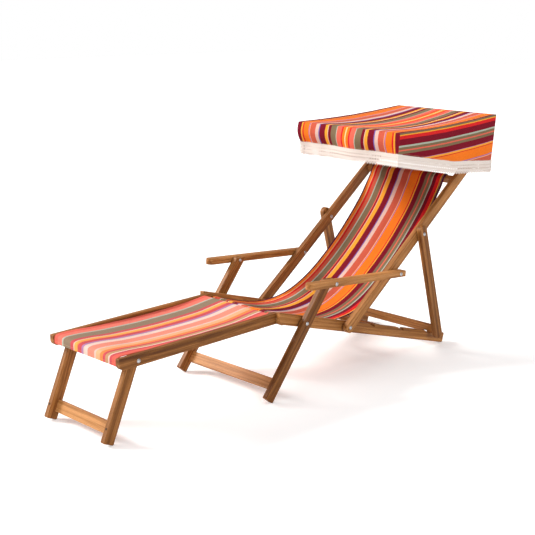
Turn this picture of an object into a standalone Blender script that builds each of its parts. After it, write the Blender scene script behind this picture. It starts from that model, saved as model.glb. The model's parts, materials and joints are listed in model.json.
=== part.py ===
"""Folding beach chair: wooden frame, canvas sling, footrest and fringed canopy.

Metres, +Z up. X is the width of the chair and -Y is the footrest end.
The side view is drawn in (y, z); MID_Y moves it so that the chair's middle is on Y = 0.
"""
import math

import bmesh
import bpy
from mathutils import Vector
from mathutils.geometry import tessellate_polygon

# Whole chair
MID_Y = 0.089960
GAP = 0.0003

# Timber section and the layers that the side pieces lie in, outwards from the middle
TIMBER_W = 0.047
TIMBER_T = 0.022
HALF_W = TIMBER_W / 2
HALF_T = TIMBER_T / 2
WASHER_GAP = 0.004
LAYER_STEP = TIMBER_T + WASHER_GAP
X_STILE = 0.265
X_BASE = 0.231
X_FOOTREST = 0.2045
X_FOOTREST_LEG = X_FOOTREST - LAYER_STEP
X_STRUT = X_STILE + LAYER_STEP
X_CANOPY_ARM = X_STILE - LAYER_STEP
ARMREST_W = 0.040
X_ARMREST = X_STILE + HALF_T + WASHER_GAP + ARMREST_W / 2

# Pivots in the side view
LEG_PIVOT = (-0.0535, 0.2933)
BACK_PIVOT = (0.2177, 0.2208)
ARM_FRONT_PIVOT = (0.0720, 0.4465)
ARM_REAR_PIVOT = (0.4935, 0.4180)
STRUT_PIVOT = (0.6710, 0.5680)
CANOPY_PIVOT = (1.0728, 0.8804)
FOOTREST_PIVOT = (-0.1675, 0.3265)
FOOTREST_LEG_PIVOT = (-0.8780, 0.3055)

# Base rails
BASE_ANGLE = -15.6
BASE_BOTTOM = (0.2345, 0.1911)
BASE_FRONT_Y = -0.178
BASE_END_Y = 0.9179
BASE_END_R = 0.008
NOTCH_Y = (0.831, 0.627, 0.423)
NOTCH_DEPTH = 0.012
NOTCH_RUN = 0.046
FRONT_BAR = (-0.1310, 0.3065)
FRONT_BAR_SIZE = (0.024, 0.032)
CROSSBAR_REAR_Y = 0.485

# Back
STILE_ANGLE = 37.65
STILE_LENGTH = 1.110
TOP_BAR_ALONG = 0.911
TOP_BAR_ACROSS = 0.001
TOP_BAR = (0.022, 0.032)

# Leg frame
LEG_ANGLE = 52.15
LEG_POINT = (-0.1996, 0.1004)
LEG_FOOT_ALONG = -0.1115
LEG_BAR_ALONG = (-0.063, -0.016)
LEG_BAR_ACROSS = (-0.0250, -0.0030)

# Armrests
ARM_ANGLE = -3.96
ARM_H = 0.0265
ARM_FRONT_Y = -0.084
ARM_REAR_Y = 0.528
ARM_CORNER_R = 0.0185

# Strut frame
STRUT_ANGLE = -73.5
STRUT_LENGTH = 0.532
STRUT_HEAD = 0.041
STRUT_BAR_SEAT = 0.5045
STRUT_BAR_LOW = 0.5125
STRUT_BAR_H = 0.036
STRUT_BAR_T = 0.022

# Footrest
FOOTREST_FRONT_Y = -0.9660
FOOTREST_FRONT_TOP_Z = 0.3285
FOOTREST_REAR_TOP_Z = 0.3475
FOOTREST_D = 0.0445
FOOTREST_REAR_R = 0.0205
FOOTREST_FRONT_BAR = (-0.9420, 0.3085)
FOOTREST_FRONT_BAR_SIZE = (0.022, 0.028)
FOOTREST_REAR_BAR = (-0.2000, 0.3240)
FOOTREST_REAR_BAR_SIZE = (0.024, 0.036)
FOOTREST_LEG_ANGLE = 67.5
FOOTREST_LEG_LENGTH = 0.3225
FOOTREST_LEG_BAR_ALONG = (0.2450, 0.2920)
FOOTREST_LEG_BAR_ACROSS = (0.0030, 0.0250)

# Canopy
CANOPY_HALF_W = 0.290
CANOPY_CLOTH_T = 0.002
CANOPY_FRONT_Y = 0.4775
CANOPY_REAR_Y = 1.2005
CANOPY_FRONT_TOP_Z = 1.0305
CANOPY_REAR_TOP_Z = 1.0635
CANOPY_SAG = 0.018
CANOPY_BAR = 0.026
CANOPY_FRONT_BAR = (0.4960, 1.0150)
CANOPY_REAR_BAR = (1.1820, 1.0450)
CANOPY_BAR_HALF_X = 0.2865
ARM_RADIUS = 0.015
SIDE_LOWER = ((0.4790, 0.9360), (0.8710, 0.8700), (1.1770, 0.8460), (1.1990, 0.8460))
FRINGE_LOWER = ((0.4790, 0.8780), (0.8740, 0.8110), (1.1770, 0.7900), (1.1990, 0.7900))
VALANCE_FRONT_Z = 0.936
VALANCE_BACK_Z = 0.846
FRINGE_FRONT_Z = 0.878
FRINGE_BACK_Z = 0.790

# Cloth of the seat and of the footrest
SLING_T = 0.003
SLING_HALF_W = 0.2155
SLING_START = ((-0.1400, 0.3285),)
SLING_WAY = (
    (-0.120, 0.327), (-0.070, 0.302), (0.000, 0.280), (0.100, 0.256), (0.210, 0.247), (0.327, 0.263),
    (0.446, 0.313), (0.567, 0.394), (0.690, 0.498), (0.824, 0.640), (0.899, 0.748),
)
SLING_STEPS = 3
SLING_END = ((0.9170, 0.7855), (0.9365, 0.8002), (0.9400, 0.7994), (0.9560, 0.7785))
FOOT_CLOTH_T = 0.003
FOOT_CLOTH_HALF_W = 0.1915
FOOT_CLOTH_LINE = (
    (-0.9605, 0.2965), (-0.9605, 0.3225), (-0.9555, 0.3285), (-0.9320, 0.3316),
    (-0.8550, 0.3312), (-0.7500, 0.3262), (-0.5700, 0.3245), (-0.3800, 0.3290),
    (-0.2600, 0.3390), (-0.2100, 0.3440), (-0.1860, 0.3440),
)

# Fastenings
SHANK_R = 0.0030
HOLE_R = 0.0034
DOME_R = 0.0085
DOME_H = 0.0035
WASHER_R = 0.0080
SCREW_R = 0.0045
SCREW_H = 0.0010
PIN_BLIND = 0.006
ROUND_STEPS = 12
ARC_STEP = 22.5

# Fold directions of the moving frames are about X, through the pivots above
BODY_PIVOTS = {
    "back": BACK_PIVOT,
    "leg_frame": LEG_PIVOT,
    "armrests": ARM_REAR_PIVOT,
    "strut_frame": STRUT_PIVOT,
    "footrest": FOOTREST_PIVOT,
    "footrest_legs": FOOTREST_LEG_PIVOT,
    "canopy": CANOPY_PIVOT,
}


def clear_scene():
    for thing in list(bpy.data.objects):
        bpy.data.objects.remove(thing, do_unlink=True)


def material(name, colour, roughness, metallic=0.0):
    mat = bpy.data.materials.new(name)
    mat.use_nodes = True
    shader = mat.node_tree.nodes["Principled BSDF"]
    shader.inputs["Base Color"].default_value = (*colour, 1.0)
    shader.inputs["Roughness"].default_value = roughness
    shader.inputs["Metallic"].default_value = metallic
    mat.diffuse_color = (*colour, 1.0)
    return mat


def body_empty(name, pivot):
    empty = bpy.data.objects.new(name + "_pivot", None)
    empty.location = (0.0, pivot[0] - MID_Y, pivot[1])
    empty.empty_display_size = 0.05
    bpy.context.collection.objects.link(empty)
    return empty


def place(name, mesh, mat, origin, body, smooth=False):
    """Link a mesh whose points are measured from origin (x, y, z of the side view)."""
    mesh.materials.append(mat)
    for face in mesh.polygons:
        face.use_smooth = smooth
    obj = bpy.data.objects.new(name, mesh)
    obj.location = (origin[0], origin[1] - MID_Y, origin[2])
    bpy.context.collection.objects.link(obj)
    if body:
        obj.parent = BODIES[body]
        obj.location = obj.location - BODIES[body].location
    return obj


def direction(angle):
    return Vector((math.cos(math.radians(angle)), math.sin(math.radians(angle))))


def at(origin, angle, along, across=0.0):
    """Point at a distance along an angle from origin, and across to its left."""
    d = direction(angle)
    left = Vector((-d.y, d.x))
    return Vector(origin) + d * along + left * across


def strap(origin, angle, start, end, width, radii):
    """Four corners (y, z, radius) of a board along an angle; radii of start and end."""
    half = width / 2
    corners = [(start, -half, radii[0]), (end, -half, radii[1])]
    corners += [(end, half, radii[1]), (start, half, radii[0])]
    return [(*at(origin, angle, s, c), r) for s, c, r in corners]


def rounded(corners):
    """Outline with each corner replaced by an arc of its radius."""
    outline = []
    count = len(corners)
    for i, (y, z, radius) in enumerate(corners):
        here = Vector((y, z))
        before = (Vector(corners[i - 1][:2]) - here).normalized()
        after = (Vector(corners[(i + 1) % count][:2]) - here).normalized()
        if radius <= 0.0:
            outline.append(here)
            continue
        half_angle = before.angle(after) / 2
        centre = here + (before + after).normalized() * (radius / math.sin(half_angle))
        first = here + before * (radius / math.tan(half_angle)) - centre
        last = here + after * (radius / math.tan(half_angle)) - centre
        sweep = first.angle_signed(last)
        steps = max(2, math.ceil(abs(math.degrees(sweep)) / ARC_STEP))
        for k in range(steps + 1):
            turn = -sweep * k / steps
            c, s = math.cos(turn), math.sin(turn)
            outline.append(centre + Vector((first.x * c - first.y * s, first.x * s + first.y * c)))
    return outline


def circle(centre, radius, steps=ROUND_STEPS):
    turns = [2 * math.pi * k / steps for k in range(steps)]
    return [Vector(centre) + Vector((math.cos(t), math.sin(t))) * radius for t in turns]


def ring_wall(bm, loop, x_from, x_to):
    """Side faces of a closed loop between two X positions; returns both rings."""
    low = [bm.verts.new((x_from, p[0], p[1])) for p in loop]
    high = [bm.verts.new((x_to, p[0], p[1])) for p in loop]
    count = len(loop)
    for i in range(count):
        j = (i + 1) % count
        bm.faces.new((low[i], low[j], high[j], high[i]))
    return low, high


def cap(bm, rings):
    """Flat cap bounded by the first ring, with the other rings as holes."""
    flat = [[Vector((0.0, v.co.y, v.co.z)) for v in ring] for ring in rings]
    verts = [v for ring in rings for v in ring]
    for tri in tessellate_polygon(flat):
        bm.faces.new([verts[i] for i in tri])


def plate_mesh(name, outline, thickness, origin, holes=(), blind=(), side=1):
    """Board: outline in the side view, centred on X = 0, with round holes.

    holes go right through; blind holes start on the face toward the middle of the chair.
    """
    bm = bmesh.new()
    shift = Vector((origin[1], origin[2]))
    inner, outer = -side * thickness / 2, side * thickness / 2
    low, high = ring_wall(bm, [p - shift for p in outline], inner, outer)
    inner_rings, outer_rings = [low], [high]
    for centre in holes:
        a, b = ring_wall(bm, [p - shift for p in circle(centre, HOLE_R)], inner, outer)
        inner_rings.append(a)
        outer_rings.append(b)
    for centre in blind:
        bottom = outer - side * PIN_BLIND
        a, b = ring_wall(bm, [p - shift for p in circle(centre, HOLE_R)], inner, bottom)
        inner_rings.append(a)
        cap(bm, [b])
    cap(bm, inner_rings)
    cap(bm, outer_rings)
    bmesh.ops.recalc_face_normals(bm, faces=bm.faces)
    mesh = bpy.data.meshes.new(name)
    bm.to_mesh(mesh)
    bm.free()
    return mesh


def pair(name, outline, x, body, mat, thickness=TIMBER_T, holes=(), blind=(), pivot=None):
    """The same board on the left and on the right of the chair."""
    y0, z0 = pivot or outline[0]
    for suffix, side in (("left", -1), ("right", 1)):
        origin = (side * x, y0, z0)
        label = f"{name}_{suffix}"
        mesh = plate_mesh(label, outline, thickness, origin, holes, blind, side)
        place(label, mesh, mat, origin, body)


def bar(name, centre, size, half_x, body, mat, angle=0.0):
    """Crossbar along X, with its section turned to an angle in the side view."""
    outline = [at(centre, angle, sy * size[0] / 2, sz * size[1] / 2)
               for sy, sz in ((-1, -1), (1, -1), (1, 1), (-1, 1))]
    origin = (0.0, centre[0], centre[1])
    place(name, plate_mesh(name, outline, 2 * half_x, origin), mat, origin, body)


def turned(name, rings, axis_y, axis_z, body, mat, side):
    """Solid of revolution about X; rings are (x, radius) from the outer end inwards."""
    bm = bmesh.new()
    loops = []
    for x, radius in rings:
        loop = circle((0.0, 0.0), radius)
        loops.append([bm.verts.new((side * x, p.x, p.y)) for p in loop])
    for a, b in zip(loops, loops[1:]):
        for i in range(ROUND_STEPS):
            j = (i + 1) % ROUND_STEPS
            bm.faces.new((a[i], a[j], b[j], b[i]))
    bm.faces.new(loops[0])
    bm.faces.new(loops[-1])
    bmesh.ops.recalc_face_normals(bm, faces=bm.faces)
    mesh = bpy.data.meshes.new(name)
    bm.to_mesh(mesh)
    bm.free()
    place(name, mesh, mat, (0.0, axis_y, axis_z), body, smooth=False)


def dome(face_x, outward):
    """Rings of a domed head standing on a face, from its crown to its seat."""
    seat = face_x + outward * GAP
    return [(seat + outward * DOME_H, DOME_R * 0.35), (seat + outward * DOME_H * 0.72, DOME_R * 0.75),
            (seat + outward * DOME_H * 0.2, DOME_R), (seat, DOME_R)]


def bolt(name, pivot, faces, body, mat):
    """Bolt through boards; faces are the X of each board face, outermost first."""
    rings = dome(faces[0], 1) + [(faces[0] + GAP, SHANK_R)]
    for outer, inner in zip(faces[1:-1:2], faces[2:-1:2]):
        high, low = outer - GAP, inner + GAP
        rings += [(high, SHANK_R), (high, WASHER_R), (low, WASHER_R), (low, SHANK_R)]
    rings += [(faces[-1] - GAP, SHANK_R)] + dome(faces[-1], -1)[::-1]
    for suffix, side in (("left", -1), ("right", 1)):
        turned(f"{name}_{suffix}", rings, pivot[0], pivot[1], body, mat, side)


def smooth_line(points, steps):
    """Smooth curve through points, cut into steps pieces between each two of them."""
    line = [points[0]]
    last = len(points) - 1
    for i in range(last):
        before = Vector(points[max(i - 1, 0)])
        here = Vector(points[i])
        after = Vector(points[i + 1])
        beyond = Vector(points[min(i + 2, last)])
        span = (after - here).length
        leave = (after - before).normalized() * span
        arrive = (beyond - here).normalized() * span
        for step in range(1, steps + 1):
            t = step / steps
            p = here * (2 * t ** 3 - 3 * t * t + 1) + leave * (t ** 3 - 2 * t * t + t)
            p += after * (3 * t * t - 2 * t ** 3) + arrive * (t ** 3 - t * t)
            line.append((p.x, p.y))
    return tuple(line)


def thick_line(points, thickness):
    """Closed outline of a strip that follows points, half its thickness to each side."""
    line = [Vector(p) for p in points]
    sides = []
    for i, here in enumerate(line):
        before = line[max(i - 1, 0)]
        after = line[min(i + 1, len(line) - 1)]
        d = (after - before).normalized()
        sides.append(Vector((-d.y, d.x)) * (thickness / 2))
    upper = [p + s for p, s in zip(line, sides)]
    lower = [p - s for p, s in zip(line, sides)]
    return lower + upper[::-1]


def base_line(y, across=0.0):
    """Point of the base rail's lower edge at y, moved square to the rail."""
    slope = math.tan(math.radians(BASE_ANGLE))
    z = BASE_BOTTOM[1] + slope * (y - BASE_BOTTOM[0])
    return at((y, z), BASE_ANGLE, 0.0, across)


def base_top_z(y):
    slope = math.tan(math.radians(BASE_ANGLE))
    return BASE_BOTTOM[1] + slope * (y - BASE_BOTTOM[0]) + TIMBER_W / math.cos(math.radians(BASE_ANGLE))


def build_base():
    square = BASE_END_R
    end = base_line(BASE_END_Y)
    corners = [(BASE_FRONT_Y, base_line(BASE_FRONT_Y).y, 0.003)]
    corners += [(*at(end, BASE_ANGLE, square), square)]
    corners += [(*at(end, BASE_ANGLE, square, TIMBER_W), 0.006)]
    for y in NOTCH_Y:
        lip = Vector((y, base_top_z(y)))
        corners += [(*lip, 0.0), (*at(lip, BASE_ANGLE, 0.0, -NOTCH_DEPTH), 0.0)]
        corners += [(*at(lip, BASE_ANGLE, -NOTCH_RUN), 0.0)]
    corners += [(BASE_FRONT_Y, base_top_z(BASE_FRONT_Y), 0.003)]
    outline = rounded(corners)
    pair("base_rail", outline, X_BASE, None, WOOD, holes=(LEG_PIVOT, BACK_PIVOT), blind=(FOOTREST_PIVOT,),
         pivot=BACK_PIVOT)
    half_x = X_BASE - HALF_T - GAP
    bar("base_front_bar", FRONT_BAR, FRONT_BAR_SIZE, half_x, None, WOOD)
    rear = (CROSSBAR_REAR_Y, base_top_z(CROSSBAR_REAR_Y))
    bar("base_crossbar", at(rear, BASE_ANGLE, -HALF_W, -HALF_T), (TIMBER_W, TIMBER_T), half_x, None, WOOD,
        BASE_ANGLE)


def build_back():
    outline = rounded(strap(BACK_PIVOT, STILE_ANGLE, -HALF_W, STILE_LENGTH, TIMBER_W, (0.0225, 0.010)))
    holes = (BACK_PIVOT, ARM_REAR_PIVOT, STRUT_PIVOT, CANOPY_PIVOT)
    pair("stile", outline, X_STILE, "back", WOOD, holes=holes, pivot=BACK_PIVOT)
    half_x = X_STILE - HALF_T - GAP
    top = at(BACK_PIVOT, STILE_ANGLE, TOP_BAR_ALONG, TOP_BAR_ACROSS)
    bar("back_top_bar", top, TOP_BAR, half_x, "back", WOOD, STILE_ANGLE)
    line = SLING_START + smooth_line(SLING_WAY, SLING_STEPS) + SLING_END
    sling = thick_line(line, SLING_T)
    origin = (0.0, *SLING_WAY[2])
    place("sling", plate_mesh("sling", sling, 2 * SLING_HALF_W, origin), CANVAS, origin, "back")


def meet(p, angle_p, q, angle_q):
    """Point where two lines of the side view cross."""
    a, b = direction(angle_p), direction(angle_q)
    step = (Vector(q) - Vector(p)).cross(b) / a.cross(b)
    return Vector(p) + a * step


def build_legs():
    arm_top = at(ARM_FRONT_PIVOT, ARM_ANGLE, 0.0, ARM_H / 2 - 0.0005)
    front = at(LEG_POINT, LEG_ANGLE, 0.0, HALF_W)
    rear = at(LEG_POINT, LEG_ANGLE, 0.0, -HALF_W)
    corners = [(*at(LEG_POINT, LEG_ANGLE, LEG_FOOT_ALONG, -HALF_W), 0.005),
               (*meet(rear, LEG_ANGLE, arm_top, ARM_ANGLE), 0.002),
               (*meet(front, LEG_ANGLE, arm_top, ARM_ANGLE), 0.002),
               (*at(LEG_POINT, LEG_ANGLE, LEG_FOOT_ALONG, HALF_W), 0.005)]
    pair("leg", rounded(corners), X_STILE, "leg_frame", WOOD, holes=(LEG_PIVOT, ARM_FRONT_PIVOT), pivot=LEG_PIVOT)
    along, across = LEG_BAR_ALONG, LEG_BAR_ACROSS
    centre = at(LEG_POINT, LEG_ANGLE, sum(along) / 2, sum(across) / 2)
    bar("leg_crossbar", centre, (along[1] - along[0], across[1] - across[0]), X_STILE - HALF_T - GAP, "leg_frame",
        WOOD, LEG_ANGLE)


def build_armrests():
    """Armrests are drawn in plan, so that their front ends can be rounded, then tilted."""
    run = direction(ARM_ANGLE)
    start = (ARM_FRONT_Y - ARM_REAR_PIVOT[0]) / run.x
    end = (ARM_REAR_Y - ARM_REAR_PIVOT[0]) / run.x
    half = ARMREST_W / 2
    for suffix, side in (("left", -1), ("right", 1)):
        corners = [(-half, start, ARM_CORNER_R), (half, start, ARM_CORNER_R), (half, end, 0.003), (-half, end, 0.003)]
        plan = rounded(corners)
        bm = bmesh.new()
        levels = []
        for up in (-ARM_H / 2, ARM_H / 2):
            ring = []
            for across, along in plan:
                p = at((0.0, 0.0), ARM_ANGLE, along, up)
                ring.append(bm.verts.new((side * across, p.x, p.y)))
            levels.append(ring)
        count = len(plan)
        for i in range(count):
            j = (i + 1) % count
            bm.faces.new((levels[0][i], levels[0][j], levels[1][j], levels[1][i]))
        bm.faces.new(levels[0])
        bm.faces.new(levels[1])
        holes = [Vector(hole) - Vector(ARM_REAR_PIVOT) for hole in (ARM_FRONT_PIVOT, ARM_REAR_PIVOT)]
        drill(bm, half, holes)
        bmesh.ops.recalc_face_normals(bm, faces=bm.faces)
        mesh = bpy.data.meshes.new(f"armrest_{suffix}")
        bm.to_mesh(mesh)
        bm.free()
        place(f"armrest_{suffix}", mesh, WOOD, (side * X_ARMREST, *ARM_REAR_PIVOT), "armrests")


def drill(bm, half, centres):
    """Open round holes along X between the flat sides at X = -half and X = half."""
    rings = {}
    for x in (-half, half):
        flat = [f for f in bm.faces if all(abs(v.co.x - x) < 1e-6 for v in f.verts)][0]
        outer = list(flat.verts)
        bm.faces.remove(flat)
        rings[x] = [[bm.verts.new((x, p.x, p.y)) for p in circle(c, HOLE_R)] for c in centres]
        cap(bm, [outer] + rings[x])
    for a, b in zip(rings[-half], rings[half]):
        for i in range(ROUND_STEPS):
            j = (i + 1) % ROUND_STEPS
            bm.faces.new((a[i], a[j], b[j], b[i]))


def build_struts():
    outline = rounded(strap(STRUT_PIVOT, STRUT_ANGLE, -STRUT_HEAD, STRUT_LENGTH, TIMBER_W, (0.0225, 0.016)))
    pair("strut", outline, X_STRUT, "strut_frame", WOOD, holes=(STRUT_PIVOT,), pivot=STRUT_PIVOT)
    half_x = X_STRUT - HALF_T - GAP
    slot_in, slot_out = X_BASE - HALF_T - 0.003, X_BASE + HALF_T + 0.003
    top, seat, low = STRUT_BAR_LOW - STRUT_BAR_H, STRUT_BAR_SEAT, STRUT_BAR_LOW
    profile = [(half_x, top), (half_x, low), (slot_out, low), (slot_out, seat), (slot_in, seat), (slot_in, low)]
    profile += [(-x, along) for x, along in profile[::-1]]
    bm = bmesh.new()
    rings = []
    for across in (-STRUT_BAR_T / 2, STRUT_BAR_T / 2):
        ring = []
        for x, along in profile:
            p = at((0.0, 0.0), STRUT_ANGLE, along, across)
            ring.append(bm.verts.new((x, p.x, p.y)))
        rings.append(ring)
    count = len(profile)
    for i in range(count):
        j = (i + 1) % count
        bm.faces.new((rings[0][i], rings[0][j], rings[1][j], rings[1][i]))
    for ring in rings:
        flat = [[Vector((x, along, 0.0)) for x, along in profile]]
        for tri in tessellate_polygon(flat):
            bm.faces.new([ring[i] for i in tri])
    bmesh.ops.recalc_face_normals(bm, faces=bm.faces)
    mesh = bpy.data.meshes.new("strut_crossbar")
    bm.to_mesh(mesh)
    bm.free()
    place("strut_crossbar", mesh, WOOD, (0.0, *STRUT_PIVOT), "strut_frame")


def build_footrest():
    slope = (FOOTREST_REAR_TOP_Z - FOOTREST_FRONT_TOP_Z) / (FOOTREST_PIVOT[0] - FOOTREST_FRONT_Y)
    angle = math.degrees(math.atan(slope))
    top_front = (FOOTREST_FRONT_Y, FOOTREST_FRONT_TOP_Z)
    length = (FOOTREST_PIVOT[0] - FOOTREST_FRONT_Y) / math.cos(math.radians(angle))
    corners = [(*at(top_front, angle, 0.0, -FOOTREST_D), 0.022),
               (*at(top_front, angle, length + FOOTREST_REAR_R, -FOOTREST_D), 0.0195),
               (*at(top_front, angle, length + FOOTREST_REAR_R), 0.0195),
               (*top_front, 0.003)]
    outline = rounded(corners)
    pair("footrest_rail", outline, X_FOOTREST, "footrest", WOOD, holes=(FOOTREST_PIVOT, FOOTREST_LEG_PIVOT),
         pivot=FOOTREST_PIVOT)
    half_x = X_FOOTREST - HALF_T - GAP
    bar("footrest_front_bar", FOOTREST_FRONT_BAR, FOOTREST_FRONT_BAR_SIZE, half_x, "footrest", WOOD)
    bar("footrest_rear_bar", FOOTREST_REAR_BAR, FOOTREST_REAR_BAR_SIZE, half_x, "footrest", WOOD)
    cloth = thick_line(FOOT_CLOTH_LINE, FOOT_CLOTH_T)
    origin = (0.0, *FOOT_CLOTH_LINE[6])
    mesh = plate_mesh("footrest_sling", cloth, 2 * FOOT_CLOTH_HALF_W, origin)
    place("footrest_sling", mesh, CANVAS, origin, "footrest")


def build_footrest_legs():
    angle = FOOTREST_LEG_ANGLE + 180.0
    outline = rounded(strap(FOOTREST_LEG_PIVOT, angle, -HALF_W, FOOTREST_LEG_LENGTH, TIMBER_W, (0.0225, 0.005)))
    pair("footrest_leg", outline, X_FOOTREST_LEG, "footrest_legs", WOOD, holes=(FOOTREST_LEG_PIVOT,),
         pivot=FOOTREST_LEG_PIVOT)
    along, across = FOOTREST_LEG_BAR_ALONG, FOOTREST_LEG_BAR_ACROSS
    centre = at(FOOTREST_LEG_PIVOT, angle, sum(along) / 2, sum(across) / 2)
    bar("footrest_leg_crossbar", centre, (along[1] - along[0], across[1] - across[0]),
        X_FOOTREST_LEG - HALF_T - GAP, "footrest_legs", WOOD, angle)


def canopy_top_line():
    """Points of the sagging top cloth between its front and its rear edge."""
    steps = 8
    points = []
    for k in range(steps + 1):
        t = k / steps
        y = CANOPY_FRONT_Y + (CANOPY_REAR_Y - CANOPY_FRONT_Y) * t
        z = CANOPY_FRONT_TOP_Z + (CANOPY_REAR_TOP_Z - CANOPY_FRONT_TOP_Z) * t
        rise = 1.0 - abs(2.0 * min(max((t - 0.05) / 0.9, 0.0), 1.0) - 1.0) ** 2
        points.append((y, z - CANOPY_SAG * rise))
    return points


def build_canopy():
    p = Vector(CANOPY_PIVOT)
    front = Vector(CANOPY_FRONT_BAR)
    rear = Vector(CANOPY_REAR_BAR)
    d = front - p
    angle = math.degrees(math.atan2(d.y, d.x))
    arm = rounded(strap(p, angle, -ARM_RADIUS, d.length - 0.0203, 2 * ARM_RADIUS, (0.0145, 0.0)))
    pair("canopy_front_arm", arm, X_CANOPY_ARM, "canopy", WOOD, holes=(CANOPY_PIVOT,), pivot=CANOPY_PIVOT)
    d = rear - p
    angle = math.degrees(math.atan2(d.y, d.x))
    arm = rounded(strap(p, angle, ARM_RADIUS + 0.001, d.length - 0.030, 2 * ARM_RADIUS, (0.0, 0.0)))
    pair("canopy_rear_arm", arm, X_CANOPY_ARM, "canopy", WOOD, pivot=CANOPY_PIVOT)
    size = (CANOPY_BAR, CANOPY_BAR)
    bar("canopy_front_bar", CANOPY_FRONT_BAR, size, CANOPY_BAR_HALF_X, "canopy", WOOD)
    bar("canopy_rear_bar", CANOPY_REAR_BAR, size, CANOPY_BAR_HALF_X, "canopy", WOOD)

    top = canopy_top_line()
    origin = (0.0, *top[4])
    outline = thick_line(top, CANOPY_CLOTH_T)
    place("canopy_top", plate_mesh("canopy_top", outline, 2 * CANOPY_HALF_W, origin), CANVAS, origin, "canopy")
    under = [Vector(q) - Vector((0.0, CANOPY_CLOTH_T / 2 + 2 * GAP)) for q in top]
    under[0] = under[0].lerp(under[1], (SIDE_LOWER[0][0] - under[0].x) / (under[1].x - under[0].x))
    under[-1] = under[-1].lerp(under[-2], (SIDE_LOWER[-1][0] - under[-1].x) / (under[-2].x - under[-1].x))
    side = [Vector(q) for q in SIDE_LOWER] + under[::-1]
    x_side = CANOPY_HALF_W - CANOPY_CLOTH_T / 2
    pair("canopy_side", side, x_side, "canopy", CANVAS, thickness=CANOPY_CLOTH_T)
    strip = [Vector(q) for q in FRINGE_LOWER] + [Vector(q) - Vector((0.0, GAP)) for q in SIDE_LOWER[::-1]]
    pair("fringe_side", strip, x_side, "canopy", FRINGE, thickness=CANOPY_CLOTH_T)
    flats = (
        ("canopy_front_valance", CANOPY_FRONT_Y, VALANCE_FRONT_Z, CANOPY_FRONT_TOP_Z - 0.0016, CANVAS),
        ("canopy_back_valance", CANOPY_REAR_Y, VALANCE_BACK_Z, CANOPY_REAR_TOP_Z - 0.0016, CANVAS),
        ("fringe_front", CANOPY_FRONT_Y, FRINGE_FRONT_Z, VALANCE_FRONT_Z - GAP, FRINGE),
        ("fringe_back", CANOPY_REAR_Y, FRINGE_BACK_Z, VALANCE_BACK_Z - GAP, FRINGE),
    )
    for name, y, low, high, mat in flats:
        bar(name, (y, (low + high) / 2), (CANOPY_CLOTH_T, high - low), CANOPY_HALF_W, "canopy", mat)


def build_fastenings():
    stile_out, stile_in = X_STILE + HALF_T, X_STILE - HALF_T
    base_out, base_in = X_BASE + HALF_T, X_BASE - HALF_T
    foot_out, foot_in = X_FOOTREST + HALF_T, X_FOOTREST - HALF_T
    leg_out, leg_in = X_FOOTREST_LEG + HALF_T, X_FOOTREST_LEG - HALF_T
    arm_out, arm_in = X_ARMREST + ARMREST_W / 2, X_ARMREST - ARMREST_W / 2
    strut_out, strut_in = X_STRUT + HALF_T, X_STRUT - HALF_T
    bolt("leg_bolt", LEG_PIVOT, (stile_out, stile_in, base_out, base_in), "leg_frame", STEEL)
    bolt("back_bolt", BACK_PIVOT, (stile_out, stile_in, base_out, base_in), "back", STEEL)
    bolt("armrest_rear_bolt", ARM_REAR_PIVOT, (arm_out, arm_in, stile_out, stile_in), "armrests", STEEL)
    bolt("strut_bolt", STRUT_PIVOT, (strut_out, strut_in, stile_out, stile_in), "strut_frame", STEEL)
    frame_out, frame_in = X_CANOPY_ARM + HALF_T, X_CANOPY_ARM - HALF_T
    bolt("canopy_bolt", CANOPY_PIVOT, (stile_out, stile_in, frame_out, frame_in), "canopy", STEEL)
    bolt("footrest_leg_bolt", FOOTREST_LEG_PIVOT, (foot_out, foot_in, leg_out, leg_in), "footrest_legs", STEEL)
    for suffix, side in (("left", -1), ("right", 1)):
        rings = dome(arm_out, 1) + [(arm_out + GAP, SHANK_R), (arm_in + 2 * GAP, SHANK_R)]
        turned(f"armrest_front_bolt_{suffix}", rings, *ARM_FRONT_PIVOT, "armrests", STEEL, side)
        rings = [(stile_out - GAP, SHANK_R), (stile_in - GAP, SHANK_R)] + dome(stile_in, -1)[::-1]
        turned(f"armrest_nut_{suffix}", rings, *ARM_FRONT_PIVOT, "leg_frame", STEEL, side)
        rings = [(base_out - PIN_BLIND - GAP, SHANK_R), (base_in - GAP, SHANK_R), (base_in - GAP, WASHER_R)]
        rings += [(foot_out + GAP, WASHER_R), (foot_out + GAP, SHANK_R), (foot_in - GAP, SHANK_R)]
        turned(f"footrest_pin_{suffix}", rings + dome(foot_in, -1)[::-1], *FOOTREST_PIVOT, "footrest", STEEL, side)
        build_screw(suffix, side)


def build_screw(suffix, side):
    """Flat screw head on the front edge of a footrest leg, level with the crossbar."""
    along = sum(FOOTREST_LEG_BAR_ALONG) / 2
    angle = FOOTREST_LEG_ANGLE + 180.0
    seat = at(FOOTREST_LEG_PIVOT, angle, along, -HALF_W - GAP)
    crown = at(FOOTREST_LEG_PIVOT, angle, along, -HALF_W - GAP - SCREW_H)
    run = direction(angle)
    bm = bmesh.new()
    rings = []
    for centre in (seat, crown):
        ring = []
        for q in circle((0.0, 0.0), SCREW_R):
            p = centre - seat + run * q.y
            ring.append(bm.verts.new((q.x, p.x, p.y)))
        rings.append(ring)
    for i in range(ROUND_STEPS):
        j = (i + 1) % ROUND_STEPS
        bm.faces.new((rings[0][i], rings[0][j], rings[1][j], rings[1][i]))
    bm.faces.new(rings[0])
    bm.faces.new(rings[1])
    bmesh.ops.recalc_face_normals(bm, faces=bm.faces)
    mesh = bpy.data.meshes.new(f"footrest_screw_{suffix}")
    bm.to_mesh(mesh)
    bm.free()
    place(f"footrest_screw_{suffix}", mesh, STEEL, (side * X_FOOTREST_LEG, *seat), "footrest_legs")


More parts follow.
